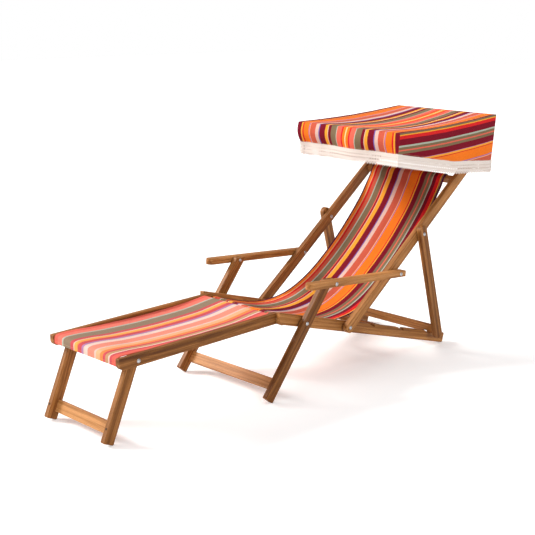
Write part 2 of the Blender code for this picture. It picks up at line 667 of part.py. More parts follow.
clear_scene()
WOOD = material("oiled_hardwood", (0.30, 0.15, 0.06), 0.55)
CANVAS = material("striped_canvas", (0.85, 0.25, 0.12), 0.9)
FRINGE = material("crochet_cotton", (0.86, 0.82, 0.74), 0.95)
STEEL = material("plated_steel", (0.72, 0.72, 0.74), 0.25, 1.0)
BODIES = {name: body_empty(name, pivot) for name, pivot in BODY_PIVOTS.items()}
build_base()
build_back()
build_legs()
build_armrests()
build_struts()
build_footrest()
build_footrest_legs()
build_canopy()
build_fastenings()
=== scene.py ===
import json
import math

import bmesh
import bpy
import numpy as np
from mathutils import Matrix, Vector, noise
from mathutils.geometry import tessellate_polygon


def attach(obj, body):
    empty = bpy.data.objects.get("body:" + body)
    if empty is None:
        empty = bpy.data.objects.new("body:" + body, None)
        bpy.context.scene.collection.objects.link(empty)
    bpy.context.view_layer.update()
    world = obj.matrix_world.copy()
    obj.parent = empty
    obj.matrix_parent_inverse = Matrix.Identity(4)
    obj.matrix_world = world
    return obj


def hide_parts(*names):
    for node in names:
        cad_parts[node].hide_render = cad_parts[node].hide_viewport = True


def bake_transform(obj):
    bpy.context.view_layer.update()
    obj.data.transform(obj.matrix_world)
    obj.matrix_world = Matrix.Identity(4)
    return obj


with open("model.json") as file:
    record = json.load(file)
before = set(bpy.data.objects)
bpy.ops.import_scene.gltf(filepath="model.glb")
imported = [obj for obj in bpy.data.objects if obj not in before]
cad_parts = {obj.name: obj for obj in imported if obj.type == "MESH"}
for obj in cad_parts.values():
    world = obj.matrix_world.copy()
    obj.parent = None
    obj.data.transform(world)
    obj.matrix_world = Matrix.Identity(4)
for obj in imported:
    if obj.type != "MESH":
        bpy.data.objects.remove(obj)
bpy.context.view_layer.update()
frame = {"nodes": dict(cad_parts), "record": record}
NODES = frame["nodes"]

# Side view coordinates (y, z) become world ones by taking MID_Y from y
MID_Y = 0.08996


def side(y, z, x=0.0):
    """World point of a side view place."""
    return Vector((x, y - MID_Y, z))


# ---------------------------------------------------------------- camera

AZIMUTH, ELEVATION, ROLL = 0.7861, 0.2375, 0.0111
CAMERA_TARGET = Vector((0.0, -0.10086, 0.4728))
CAMERA_DISTANCE = 4.7808
SENSOR_WIDTH, LENS = 36.0, 75.95


def make_camera():
    """Camera that looks down at the target; at azimuth 0 it looks along +Y."""
    forward = Vector((-math.sin(AZIMUTH) * math.cos(ELEVATION), math.cos(AZIMUTH) * math.cos(ELEVATION),
                      -math.sin(ELEVATION)))
    right = Vector((math.cos(AZIMUTH), math.sin(AZIMUTH), 0.0))
    up = right.cross(forward)
    turned_right = right * math.cos(ROLL) + up * math.sin(ROLL)
    turned_up = up * math.cos(ROLL) - right * math.sin(ROLL)
    camera = bpy.data.objects.new("camera", bpy.data.cameras.new("camera"))
    rotation = Matrix((turned_right, turned_up, -forward)).transposed().to_4x4()
    camera.matrix_world = Matrix.Translation(CAMERA_TARGET - forward * CAMERA_DISTANCE) @ rotation
    camera.data.sensor_width = SENSOR_WIDTH
    camera.data.lens = LENS
    bpy.context.collection.objects.link(camera)
    bpy.context.scene.camera = camera
    bpy.context.scene.view_settings.view_transform = "Standard"


# ---------------------------------------------------------------- materials

# Outputs of the nodes used below, by their order
OBJECT_PLACE = 3
ATTRIBUTE_VECTOR, ATTRIBUTE_FACTOR = 1, 2
CAMERA_RAY = 0


def linear(colour):
    """Linear values of a colour given in 0 to 255 steps."""
    return [(c / 255 / 12.92) if c <= 10 else ((c / 255 + 0.055) / 1.055) ** 2.4 for c in colour]


class Shader:
    """Short way to write a node material."""

    def __init__(self, name, **values):
        self.material = bpy.data.materials.new(name)
        self.material.use_nodes = True
        self.tree = self.material.node_tree
        self.surface = self.tree.nodes["Principled BSDF"]
        for key, value in values.items():
            self.surface.inputs[key.replace("_", " ")].default_value = value

    def add(self, kind, output=0, inputs=None, **settings):
        made = self.tree.nodes.new(kind)
        for key, value in settings.items():
            setattr(made, key, value)
        for key, value in (inputs or {}).items():
            self.put(made.inputs[key], value)
        return made.outputs[output]

    def put(self, socket, value):
        if isinstance(value, bpy.types.NodeSocket):
            self.tree.links.new(value, socket)
        else:
            socket.default_value = value

    def math(self, operation, *values):
        return self.add("ShaderNodeMath", 0, dict(enumerate(values)), operation=operation)

    def mix(self, share, low, high, blend="MIX"):
        made = self.tree.nodes.new("ShaderNodeMix")
        made.data_type = "RGBA"
        made.blend_type = blend
        for index, value in ((0, share), (6, low), (7, high)):
            self.put(made.inputs[index], value)
        return made.outputs[2]

    def stretch(self, vector, scale):
        return self.add("ShaderNodeVectorMath", 0, {0: vector, 1: scale}, operation="MULTIPLY")

    def noise(self, vector, scale, detail=3.0, roughness=0.5):
        values = {"Vector": vector, "Scale": scale, "Detail": detail, "Roughness": roughness}
        return self.add("ShaderNodeTexNoise", 0, values)

    def ramp(self, value, stops, interpolation="LINEAR"):
        made = self.tree.nodes.new("ShaderNodeValToRGB")
        self.put(made.inputs[0], value)
        made.color_ramp.interpolation = interpolation
        points = made.color_ramp.elements
        while len(points) < len(stops):
            points.new(1.0)
        for point, (place, colour) in zip(points, stops):
            point.position = place
            point.color = (*colour, 1.0)
        return made.outputs[0]

    def finish(self, colour, roughness, height, distance, strength):
        self.put(self.surface.inputs["Base Color"], colour)
        self.put(self.surface.inputs["Roughness"], roughness)
        values = {"Strength": strength, "Distance": distance, "Height": height}
        self.put(self.surface.inputs["Normal"], self.add("ShaderNodeBump", 0, values))
        return self.material


def wood_material():
    """Oiled hardwood; the attribute "grain" runs along the board in x, and "board" is its tone, which is
    partly painted light and shade.
    """
    s = Shader("oiled_hardwood_grain", Specular_IOR_Level=0.22, Coat_Weight=0.04, Coat_Roughness=0.45)
    grain = s.add("ShaderNodeAttribute", ATTRIBUTE_VECTOR, attribute_name="grain")
    bend = s.noise(s.stretch(grain, (2.2, 9.0, 9.0)), 1.0, 2.0)
    sideways = s.stretch(s.add("ShaderNodeCombineXYZ", 0, {0: 0.0, 1: bend, 2: bend}), (0.0, 0.03, 0.03))
    bent = s.add("ShaderNodeVectorMath", 0, {0: grain, 1: sideways}, operation="ADD")
    bands = s.noise(s.stretch(bent, (1.3, 75.0, 75.0)), 1.0, 3.0, 0.55)
    streaks = s.noise(s.stretch(bent, (5.0, 420.0, 420.0)), 1.0, 3.0, 0.6)
    pores = s.noise(s.stretch(bent, (45.0, 2200.0, 2200.0)), 1.0, 1.0)
    patch = s.noise(s.stretch(grain, (3.0, 6.0, 6.0)), 1.0, 2.0)
    board = s.add("ShaderNodeAttribute", ATTRIBUTE_FACTOR, attribute_name="board")
    tone = s.math("ADD", s.math("MULTIPLY", bands, 0.62), s.math("MULTIPLY", streaks, 0.38))
    # Each board's lightness, partly painted light and shade, shifts the wood's colour
    tone = s.math("ADD", tone, s.math("MULTIPLY", s.math("SUBTRACT", board, 0.5), 0.24))
    wood = s.ramp(tone, ((0.28, linear((92, 50, 12))), (0.42, linear((130, 80, 32))),
                         (0.54, linear((168, 112, 58))), (0.68, linear((200, 142, 86)))))
    dark_pores = s.ramp(pores, ((0.30, (0.42, 0.36, 0.30)), (0.46, (1.0, 1.0, 1.0))))
    wood = s.mix(0.55, wood, dark_pores, "MULTIPLY")
    wear = s.ramp(patch, ((0.35, (0.82, 0.79, 0.76)), (0.62, (1.06, 1.05, 1.03))))
    wood = s.mix(0.8, wood, wear, "MULTIPLY")
    rough = s.math("ADD", 0.42, s.math("MULTIPLY", streaks, 0.28))
    height = s.math("ADD", s.math("MULTIPLY", pores, 0.6), s.math("MULTIPLY", streaks, 0.5))
    return s.finish(wood, rough, height, 0.00035, 0.55)


COLOURS = {
    "purple": (82, 8, 58), "orange": (250, 124, 28), "amber": (250, 168, 52), "red": (222, 34, 36),
    "maroon": (126, 6, 34), "crimson": (160, 18, 38), "brick": (208, 92, 68), "coral": (238, 104, 84),
    "salmon": (240, 132, 108), "olive": (128, 108, 80), "pale": (176, 186, 168), "lilac": (170, 112, 168),
    "blue": (120, 96, 176), "pink": (228, 190, 176), "peach": (248, 172, 120), "cream": (248, 214, 150),
    "tan": (190, 140, 90), "scarlet": (236, 74, 56), "ecru": (238, 206, 192), "rose": (204, 30, 56),
}

# Stripes of each cloth, as widths and colours; the canopy's top has them both ways from its middle
CANOPY_HALF = (
    (3, "cream"), (14, "orange"), (10, "red"), (26, "coral"), (5, "pale"), (32, "olive"), (15, "maroon"),
    (4, "pink"), (15, "amber"), (32, "maroon"), (5, "blue"), (20, "pink"), (32, "brick"), (4, "peach"),
    (5, "lilac"), (32, "orange"), (8, "red"), (8, "amber"), (18, "maroon"),
)
SIDE_STRIPES = (
    (7, "olive"), (5, "amber"), (15, "red"), (28, "maroon"), (7, "pale"), (12, "olive"), (6, "coral"),
    (12, "olive"), (28, "maroon"), (2, "lilac"), (8, "amber"), (4, "red"), (42, "orange"), (5, "lilac"),
    (3, "peach"), (60, "brick"),
)
SLING_STRIPES = (
    (13, "purple"), (20, "orange"), (14, "peach"), (24, "red"), (40, "brick"), (12, "pale"), (60, "olive"),
    (8, "coral"), (20, "crimson"), (8, "pink"), (40, "amber"), (62, "maroon"), (12, "blue"), (40, "pink"),
    (72, "brick"), (8, "peach"), (9, "lilac"), (92, "orange"), (14, "red"), (14, "amber"), (52, "maroon"),
    (32, "olive"), (12, "coral"), (32, "olive"), (12, "pale"), (36, "maroon"), (38, "red"), (12, "amber"),
    (12, "olive"), (18, "purple"),
)
FOOT_STRIPES = (
    (20, "scarlet"), (28, "coral"), (9, "pale"), (45, "olive"), (20, "rose"), (5, "pink"), (17, "amber"),
    (6, "orange"), (22, "rose"), (12, "lilac"), (4, "pink"), (21, "ecru"), (40, "salmon"), (10, "pink"),
    (24, "peach"), (18, "orange"), (16, "rose"), (16, "tan"), (7, "ecru"), (14, "rose"), (27, "scarlet"),
)


# Weave and stitching, in metres
THREAD_PITCH = 0.0011
STITCH_INSET = 0.009
STITCH_WIDTH = 0.001
STITCH_LENGTH = 0.0038
HEM_W = 0.0115
HEM_LINE = 0.0012


def stops_of(stripes, painted_sheen=0.0):
    """Ramp stops of the stripes, each mixed towards pale ecru by the given share, a painted sheen that
    pales the cloth.
    """
    total = sum(width for width, _ in stripes)
    sheen_colour = linear(COLOURS["ecru"])
    stops, place = [], 0.0
    for width, colour in stripes:
        dyed = linear(COLOURS[colour])
        stops.append((place, [d + (g - d) * painted_sheen for d, g in zip(dyed, sheen_colour)]))
        place += width / total
    return stops


def cloth_material(name, stripes, width, half_pattern=False, painted_sheen=0.0):
    """Woven stripes that run along the cloth.

    The attribute "cloth" holds the way across, the way along and the way to the nearest edge.
    """
    s = Shader(name, Specular_IOR_Level=0.1, Sheen_Weight=0.03, Sheen_Roughness=0.5)
    cloth = s.add("ShaderNodeAttribute", ATTRIBUTE_VECTOR, attribute_name="cloth")
    parts = s.tree.nodes.new("ShaderNodeSeparateXYZ")
    s.put(parts.inputs[0], cloth)
    across, along, edge = parts.outputs
    wander = s.noise(s.stretch(cloth, (0.0, 900.0, 0.0)), 1.0, 1.0)
    place = s.math("ADD", across, s.math("MULTIPLY", s.math("SUBTRACT", wander, 0.5), 0.0006))
    if half_pattern:
        place = s.math("ABSOLUTE", s.math("SUBTRACT", place, width / 2))
        place = s.math("DIVIDE", place, width / 2)
    else:
        place = s.math("DIVIDE", place, width)
    # The stripes may be paled towards ecru, a painted sheen
    colour = s.ramp(place, stops_of(stripes, painted_sheen), "CONSTANT")
    pitch = 2 * math.pi / THREAD_PITCH
    warp = s.math("SINE", s.math("MULTIPLY", across, pitch))
    weft = s.math("SINE", s.math("MULTIPLY", along, pitch))
    weave = s.math("MULTIPLY", warp, weft)
    ribs = s.math("MULTIPLY", s.math("SINE", s.math("MULTIPLY", along, pitch / 2)), 0.35)
    height = s.math("ADD", weave, ribs)
    thread = s.noise(s.stretch(cloth, (900.0, 45.0, 1.0)), 1.0, 2.0)
    cross = s.noise(s.stretch(cloth, (45.0, 900.0, 1.0)), 1.0, 2.0)
    threads = s.math("ADD", s.math("MULTIPLY", thread, 0.5), s.math("MULTIPLY", cross, 0.5))
    shade = s.ramp(threads, ((0.3, (0.80, 0.80, 0.80)), (0.7, (1.12, 1.12, 1.12))))
    colour = s.mix(0.75, colour, shade, "MULTIPLY")
    # Painted shade in the hollows of the weave: darker where the threads dip
    weave_hollow_shade = s.ramp(weave, ((0.0, (0.86, 0.84, 0.84)), (0.55, (1.0, 1.0, 1.0))))
    colour = s.mix(0.7, colour, weave_hollow_shade, "MULTIPLY")
    fade = s.noise(s.stretch(cloth, (6.0, 6.0, 1.0)), 1.0, 3.0)
    colour = s.mix(0.5, colour, s.ramp(fade, ((0.3, (0.90, 0.89, 0.88)), (0.7, (1.05, 1.04, 1.03)))),
                   "MULTIPLY")
    row = s.math("LESS_THAN", s.math("ABSOLUTE", s.math("SUBTRACT", edge, STITCH_INSET)), STITCH_WIDTH / 2)
    run = s.math("ADD", along, across)
    dash = s.math("LESS_THAN", s.math("FRACT", s.math("DIVIDE", run, STITCH_LENGTH)), 0.72)
    stitch = s.math("MULTIPLY", row, dash)
    colour = s.mix(s.math("MULTIPLY", stitch, 0.75), colour, (*linear((214, 160, 120)), 1.0))
    height = s.math("ADD", height, s.math("MULTIPLY", stitch, 1.6))
    hem = s.math("LESS_THAN", s.math("ABSOLUTE", s.math("SUBTRACT", edge, HEM_W)), HEM_LINE / 2)
    height = s.math("SUBTRACT", height, s.math("MULTIPLY", hem, 1.5))
    rough = s.math("ADD", 0.78, s.math("MULTIPLY", threads, 0.16))
    return s.finish(colour, rough, height, 0.00022, 0.6)


def crochet_material():
    """Pale cotton yarn in rows of small knots."""
    s = Shader("crochet_yarn", Specular_IOR_Level=0.15, Sheen_Weight=0.3, Sheen_Roughness=0.5)
    cloth = s.add("ShaderNodeAttribute", ATTRIBUTE_VECTOR, attribute_name="cloth")
    parts = s.tree.nodes.new("ShaderNodeSeparateXYZ")
    s.put(parts.inputs[0], cloth)
    across, along, _ = parts.outputs
    wool = s.noise(s.stretch(cloth, (260.0, 260.0, 1.0)), 1.0, 3.0)
    lean = s.math("ADD", along, s.math("MULTIPLY", wool, 0.0012))
    rows = s.math("SINE", s.math("MULTIPLY", lean, 2 * math.pi / 0.0032))
    knots = s.math("SINE", s.math("MULTIPLY", s.math("ADD", across, s.math("MULTIPLY", rows, 0.0004)),
                                  2 * math.pi / 0.0042))
    height = s.math("ADD", s.math("MULTIPLY", rows, 0.3), s.math("MULTIPLY", knots, 0.5))
    height = s.math("ADD", height, s.math("MULTIPLY", wool, 0.8))
    colour = s.ramp(wool, ((0.25, linear((212, 197, 188))), (0.5, linear((228, 215, 206))),
                           (0.75, linear((242, 233, 227)))))
    fade = s.noise(s.stretch(cloth, (8.0, 20.0, 1.0)), 1.0, 2.0)
    colour = s.mix(0.6, colour, s.ramp(fade, ((0.3, (0.93, 0.90, 0.87)), (0.7, (1.0, 1.0, 1.0)))),
                   "MULTIPLY")
    rough = s.math("ADD", 0.8, s.math("MULTIPLY", wool, 0.15))
    return s.finish(colour, rough, height, 0.0005, 0.7)


def steel_material():
    """Bolt heads: dulled zinc."""
    s = Shader("zinc_plated_steel", Metallic=1.0)
    place = s.add("ShaderNodeTexCoord", OBJECT_PLACE)
    cloud = s.noise(place, 260.0, 3.0)
    scratch = s.noise(s.stretch(place, (1.0, 14.0, 1.0)), 420.0, 2.0)
    colour = s.ramp(cloud, ((0.3, (0.36, 0.36, 0.37)), (0.65, (0.62, 0.62, 0.64))))
    rough = s.math("ADD", 0.18, s.math("MULTIPLY", scratch, 0.26))
    return s.finish(colour, rough, scratch, 0.0001, 0.4)


def screw_material():
    """Screws sunk in the legs, coloured dark brown, much darker than the bolt heads."""
    s = Shader("dark_brown_screw", Metallic=0.7)
    place = s.add("ShaderNodeTexCoord", OBJECT_PLACE)
    cloud = s.noise(place, 300.0, 3.0)
    colour = s.ramp(cloud, ((0.3, linear((52, 36, 26))), (0.7, linear((92, 66, 46)))))
    rough = s.math("ADD", 0.45, s.math("MULTIPLY", cloud, 0.25))
    return s.finish(colour, rough, cloud, 0.0001, 0.4)


FLOOR_GLOW = 0.27


def floor_material():
    """Pale studio floor, lifted a little where the camera sees it directly."""
    s = Shader("studio_floor", Specular_IOR_Level=0.1)
    place = s.add("ShaderNodeTexCoord", OBJECT_PLACE)
    cloud = s.noise(place, 1.5, 3.0)
    colour = s.ramp(cloud, ((0.3, (0.93, 0.93, 0.93)), (0.7, (0.96, 0.955, 0.955))))
    rough = s.math("ADD", 0.75, s.math("MULTIPLY", cloud, 0.1))
    seen = s.add("ShaderNodeLightPath", CAMERA_RAY)
    s.put(s.surface.inputs["Emission Color"], (1.0, 0.985, 0.98, 1.0))
    s.put(s.surface.inputs["Emission Strength"], s.math("MULTIPLY", seen, FLOOR_GLOW))
    return s.finish(colour, rough, cloud, 0.0001, 0.1)


# ---------------------------------------------------------------- mesh helpers

def link(name, mesh, material):
    """New piece in the scene, with one material or a tuple of them."""
    for each in material if isinstance(material, tuple) else (material,):
        mesh.materials.append(each)
    piece = bpy.data.objects.new(name, mesh)
    bpy.context.collection.objects.link(piece)
    return piece


def put_vectors(mesh, name, vectors):
    """Vector attribute with one value for each point."""
    layer = mesh.attributes.new(name, "FLOAT_VECTOR", "POINT")
    layer.data.foreach_set("vector", np.asarray(vectors, dtype=np.float32).ravel())


def applied(piece):
    """The piece's modifiers become its mesh."""
    graph = bpy.context.evaluated_depsgraph_get()
    mesh = bpy.data.meshes.new_from_object(piece.evaluated_get(graph))
    old = piece.data
    piece.modifiers.clear()
    piece.data = mesh
    bpy.data.meshes.remove(old)
    return piece


def ease(t):
    """Smooth step from 0 to 1."""
    return t * t * (3 - 2 * t)


def smooth(mesh, angle):
    mesh.shade_smooth()
    mesh.set_sharp_from_angle(angle=math.radians(angle))


# Points nearer than this are one point, or lie in one plane
SAME_POINT = 1e-5
SAME_PLANE = 2e-5


def joined_copy(node):
    """Copy of a node's mesh with its split corners joined."""
    bm = bmesh.new()
    bm.from_mesh(NODES[node].data)
    bmesh.ops.remove_doubles(bm, verts=bm.verts, dist=SAME_POINT)
    return bm


# ---------------------------------------------------------------- timber

# How light each board is, partly its own tone and partly painted light and shade: the crossbars are made
# lighter as lit boards, the struts and the left stile darker as shaded ones; boards not named here vary a
# little about the middle
BOARD_TONES_AND_LIGHT = {
    "leg_right": 0.0, "leg_left": 0.25, "strut_right": 0.2, "strut_left": 0.3, "stile_right": 0.65,
    "stile_left": 0.3, "armrest_right": 0.8, "armrest_left": 0.5, "footrest_rail_right": 0.15,
    "base_rail_right": 0.6, "footrest_leg_right": 0.3, "footrest_leg_left": 0.45, "leg_crossbar": 0.9,
    "footrest_leg_crossbar": 0.9,
}


EASED_EDGE = 0.0013
GOLDEN = 0.6180339


def eased_board(node, body, seed):
    """The board with its edges eased, and its grain along its length."""
    bm = joined_copy(node)
    bmesh.ops.dissolve_limit(bm, angle_limit=math.radians(1.0), verts=bm.verts, edges=bm.edges)
    mesh = bpy.data.meshes.new(node + "_timber")
    bm.to_mesh(mesh)
    bm.free()
    piece = link(node + "_timber", mesh, WOOD)
    bevel = piece.modifiers.new("eased", "BEVEL")
    bevel.width = EASED_EDGE
    bevel.segments = 2
    bevel.angle_limit = math.radians(35)
    bevel.use_clamp_overlap = False
    bevel.harden_normals = True
    applied(piece)
    mesh = piece.data
    points = np.empty(len(mesh.vertices) * 3)
    mesh.vertices.foreach_get("co", points)
    points = points.reshape(-1, 3)
    _, _, axes = np.linalg.svd(points - points.mean(axis=0), full_matrices=False)
    for axis in axes:
        axis *= 1.0 if axis[np.argmax(np.abs(axis))] > 0 else -1.0
    local = (points - points.mean(axis=0)) @ axes.T
    # Each board is cut from its own place in the grain
    local += np.array([seed * 1.37, seed * 0.731, seed * 0.417])
    put_vectors(mesh, "grain", local)
    tone = mesh.attributes.new("board", "FLOAT", "POINT")
    # The board's lightness holds painted light and shade as well as its own tone
    share = BOARD_TONES_AND_LIGHT.get(node, 0.35 + 0.4 * ((seed * GOLDEN) % 1.0))
    tone.data.foreach_set("value", np.full(len(mesh.vertices), share, dtype=np.float32))
    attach(piece, body)
    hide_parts(node)
    return piece


# ---------------------------------------------------------------- fastenings

BOLT_STEPS = 32


def turned_bolt(node, body):
    """The bolt turned again from its own profile, with more steps round, for a round head."""
    bm = joined_copy(node)
    centre = sum((v.co for v in bm.verts), Vector()) / len(bm.verts)
    line = [v for v in bm.verts if abs(v.co.z - centre.z) < SAME_PLANE and v.co.y > centre.y]
    edges = {v: [e.other_vert(v) for e in v.link_edges if e.other_vert(v) in line] for v in line}
    here = max(line, key=lambda v: abs(v.co.x) - (0 if len(edges[v]) == 1 else 1))
    profile, seen = [here], {here}
    while True:
        ahead = [v for v in edges[profile[-1]] if v not in seen]
        if not ahead:
            break
        profile.append(ahead[0])
        seen.add(ahead[0])
    rings = [(v.co.x, v.co.y - centre.y) for v in profile]
    bm.free()
    out = bmesh.new()
    loops = []
    for x, radius in rings:
        turns = [2 * math.pi * k / BOLT_STEPS for k in range(BOLT_STEPS)]
        loops.append([out.verts.new((x, centre.y + radius * math.cos(t), centre.z + radius * math.sin(t)))
                      for t in turns])
    for a, b in zip(loops, loops[1:]):
        for i in range(BOLT_STEPS):
            j = (i + 1) % BOLT_STEPS
            out.faces.new((a[i], a[j], b[j], b[i]))
    for loop in (loops[0], loops[-1]):
        out.faces.new(loop)
    bmesh.ops.recalc_face_normals(out, faces=out.faces)
    mesh = bpy.data.meshes.new(node + "_turned")
    out.to_mesh(mesh)
    out.free()
    smooth(mesh, 50)
    piece = link(node + "_turned", mesh, STEEL)
    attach(piece, body)
    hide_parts(node)


# ---------------------------------------------------------------- cloth

CLOTH_THICK = 0.0016
CLOTH_STEP = 0.007
CLOTH_COLUMNS = 56
HEM_THICKER = 1.7
SPAN_STEPS = 24


def curve_through(points, step):
    """Even points on a smooth curve through points."""
    ends = [points[0] * 2 - points[1]] + list(points) + [points[-1] * 2 - points[-2]]
    dense = []
    for a, b, c, d in zip(ends, ends[1:], ends[2:], ends[3:]):
        for k in range(SPAN_STEPS):
            t = k / SPAN_STEPS
            dense.append(0.5 * (b * 2 + (c - a) * t + (a * 2 - b * 5 + c * 4 - d) * t ** 2
                                + (b * 3 - a - c * 3 + d) * t ** 3))
    dense.append(points[-1].copy())
    length = sum((q - p).length for p, q in zip(dense, dense[1:]))
    count = round(length / step)
    even, walked, wanted = [dense[0]], 0.0, length / count
    for p, q in zip(dense, dense[1:]):
        gap = (q - p).length
        while gap > 0 and walked + gap >= wanted * len(even) - 1e-9 and len(even) <= count:
            even.append(p.lerp(q, (wanted * len(even) - walked) / gap))
        walked += gap
    return even, length


def double_skin(name, rows, across, along, edge, thickness, material):
    """Closed thin sheet from a grid of points; thickness is a grid as well."""
    high, wide = len(rows), len(rows[0])
    normals = []
    for i in range(high):
        line = []
        for j in range(wide):
            du = rows[i][min(j + 1, wide - 1)] - rows[i][max(j - 1, 0)]
            dv = rows[min(i + 1, high - 1)][j] - rows[max(i - 1, 0)][j]
            line.append(du.cross(dv).normalized())
        normals.append(line)
    points, marks = [], []
    for up in (0.5, -0.5):
        for i in range(high):
            for j in range(wide):
                points.append(rows[i][j] + normals[i][j] * (up * thickness[i][j]))
                marks.append((across[j], along[i], edge[i][j]))
    faces = []
    for layer in (0, high * wide):
        for i in range(high - 1):
            for j in range(wide - 1):
                a = layer + i * wide + j
                quad = (a, a + 1, a + wide + 1, a + wide)
                faces.append(quad if layer == 0 else quad[::-1])
    rim = [i * wide for i in range(high)][::-1] + [j for j in range(1, wide)]
    rim += [i * wide + wide - 1 for i in range(1, high)]
    rim += [(high - 1) * wide + j for j in range(wide - 2, 0, -1)]
    for a, b in zip(rim, rim[1:] + rim[:1]):
        faces.append((b, a, a + high * wide, b + high * wide))
    mesh = bpy.data.meshes.new(name)
    mesh.from_pydata([tuple(p) for p in points], [], faces)
    put_vectors(mesh, "cloth", marks)
    smooth(mesh, 60)
    return link(name, mesh, material)


def cloth_strip(name, line, half_w, material, shape):
    """Long sheet along a side view line, with its length.

    shape(share across, metres along, length) gives the cloth's rise there and how far it pulls in.
    """
    path, length = curve_through([side(*p) for p in line], CLOTH_STEP)
    count = len(path)
    shares = [2.0 * j / CLOTH_COLUMNS - 1.0 for j in range(CLOTH_COLUMNS + 1)]
    # Closer together towards the two edges
    shares = [math.copysign(1.0 - (1.0 - abs(share)) ** 1.15, share) for share in shares]
    rows, along, edge, depth = [], [], [], []
    for i, here in enumerate(path):
        run = (path[min(i + 1, count - 1)] - path[max(i - 1, 0)]).normalized()
        up = Vector((0.0, -run.z, run.y))
        v = length * i / (count - 1)
        row, near, thick = [], [], []
        for share in shares:
            rise, pull = shape(share, v, length)
            row.append(here + Vector((share * (half_w - pull), 0.0, 0.0)) + up * rise)
            to_edge = half_w * (1.0 - abs(share))
            near.append(min(to_edge, v, length - v))
            thick.append(CLOTH_THICK * (HEM_THICKER if to_edge < HEM_W else 1.0))
        rows.append(row)
        along.append(v)
        edge.append(near)
        depth.append(thick)
    across = [half_w * (1.0 + share) for share in shares]
    piece = double_skin(name, rows, across, along, edge, depth, material)
    return piece, length


def smooth_line(points, steps):
    """Smooth curve through points, cut into steps pieces between each two of them."""
    line = [points[0]]
    last = len(points) - 1
    for i in range(last):
        before = Vector(points[max(i - 1, 0)])
        here = Vector(points[i])
        after = Vector(points[i + 1])
        beyond = Vector(points[min(i + 2, last)])
        span = (after - here).length
        leave = (after - before).normalized() * span
        arrive = (beyond - here).normalized() * span
        for step in range(1, steps + 1):
            t = step / steps
            p = here * (2 * t ** 3 - 3 * t * t + 1) + leave * (t ** 3 - 2 * t * t + t)
            p += after * (3 * t * t - 2 * t ** 3) + arrive * (t ** 3 - t * t)
            line.append((p.x, p.y))
    return tuple(line)


# The sling in the side view: round the base's front bar, along the seat, over the back's top bar
SLING_HALF_W = 0.2155
SLING_START = ((-0.1446, 0.2960), (-0.1446, 0.3180), (-0.1410, 0.3252), (-0.1310, 0.3268))
SLING_WAY = (
    (-0.112, 0.322), (-0.070, 0.302), (0.000, 0.280), (0.100, 0.256), (0.210, 0.247), (0.327, 0.263),
    (0.446, 0.313), (0.567, 0.394), (0.690, 0.498), (0.824, 0.640), (0.899, 0.748),
)
SLING_STEPS = 3
SLING_END = (
    (0.9085, 0.7680), (0.9168, 0.7838), (0.9215, 0.7892), (0.9345, 0.7993), (0.9385, 0.8009),
    (0.9430, 0.7978), (0.9570, 0.7795), (0.9600, 0.7735), (0.9585, 0.7690),
)
SLING_LINE = SLING_START + smooth_line(SLING_WAY, SLING_STEPS) + SLING_END


SLING_SAG, SLING_CURL, SLING_RIPPLE, SLING_FOLDS, SLING_PULL = 0.006, 0.004, 0.0018, 0.0016, 0.003
CURL_FROM = 0.93


def sling_shape(share, v, length):
    """The seat's cloth is straight at its two bars and free between them."""
    free = ease(min(1.0, max(0.0, v - 0.03) / 0.12, max(0.0, length - v - 0.075) / 0.20))
    sag = -SLING_SAG * free * (1 - share * share) ** 1.2
    curl = SLING_CURL * free * max(0.0, abs(share) - CURL_FROM) / 0.07
    ripple = SLING_RIPPLE * free * noise.noise(Vector((share * 2.2, v * 4.0, 1.3)))
    folds = SLING_FOLDS * free * noise.noise(Vector((share * 7.0, v * 2.0, 8.1)))
    pull = SLING_PULL * free * (0.5 + noise.noise(Vector((share * 0.2, v * 3.0, 4.0))))
    return sag + curl + ripple + folds, pull


# The footrest's cloth in the side view, from under its front bar to behind its rear bar
FOOT_HALF_W = 0.1925
FOOT_LINE = (
    (-0.9603, 0.2965), (-0.9603, 0.3195), (-0.9560, 0.3268), (-0.9440, 0.3300), (-0.9300, 0.3308),
    (-0.8600, 0.3304), (-0.7500, 0.3255), (-0.5700, 0.3235), (-0.3800, 0.3285), (-0.2600, 0.3390),
    (-0.2100, 0.3440), (-0.1960, 0.3443), (-0.1880, 0.3422), (-0.1857, 0.3360), (-0.1857, 0.3150),
)


FOOT_SAG, FOOT_RIPPLE, FOOT_PULL = 0.006, 0.0014, 0.001


def foot_shape(share, v, length):
    """The footrest's cloth is stretched, with a small sag."""
    free = ease(min(1.0, max(0.0, v - 0.05) / 0.15, max(0.0, length - v - 0.04) / 0.15))
    sag = -FOOT_SAG * free * (1 - share * share)
    ripple = FOOT_RIPPLE * free * noise.noise(Vector((share * 2.5, v * 6.0, 5.3)))
    return sag + ripple, FOOT_PULL * free


# ---------------------------------------------------------------- canopy

CANOPY_HALF_W = 0.290
CANOPY_FRONT, CANOPY_REAR = 0.4775, 1.2005
CANOPY_W, CANOPY_RUN = 2 * CANOPY_HALF_W, CANOPY_REAR - CANOPY_FRONT
CANOPY_FRONT_Z, CANOPY_REAR_Z = 1.0305, 1.0635
CANOPY_THICK = 0.0014
CANOPY_STEP = 0.012
CANOPY_LEVELS = 14
CANOPY_FLARE = 0.0075
CANOPY_FLAT_END = 0.045
EDGE_SAG, MIDDLE_SAG, TOP_WAVE = 0.007, 0.017, 0.0022
FRONT_BILLOW = 0.015
BILLOW_REACH = 0.09
DROP_WAVE, CORNER_REACH = 0.016, 0.05

# How far the drops' lower corners lean in at the front and at the rear, and over what length of side
LEAN_ACROSS = ((0.011, 0.10), (0.010, 0.04))
LEAN_ALONG = ((0.006, 0.05), (0.008, 0.05))
WELD_GAP = 0.0002

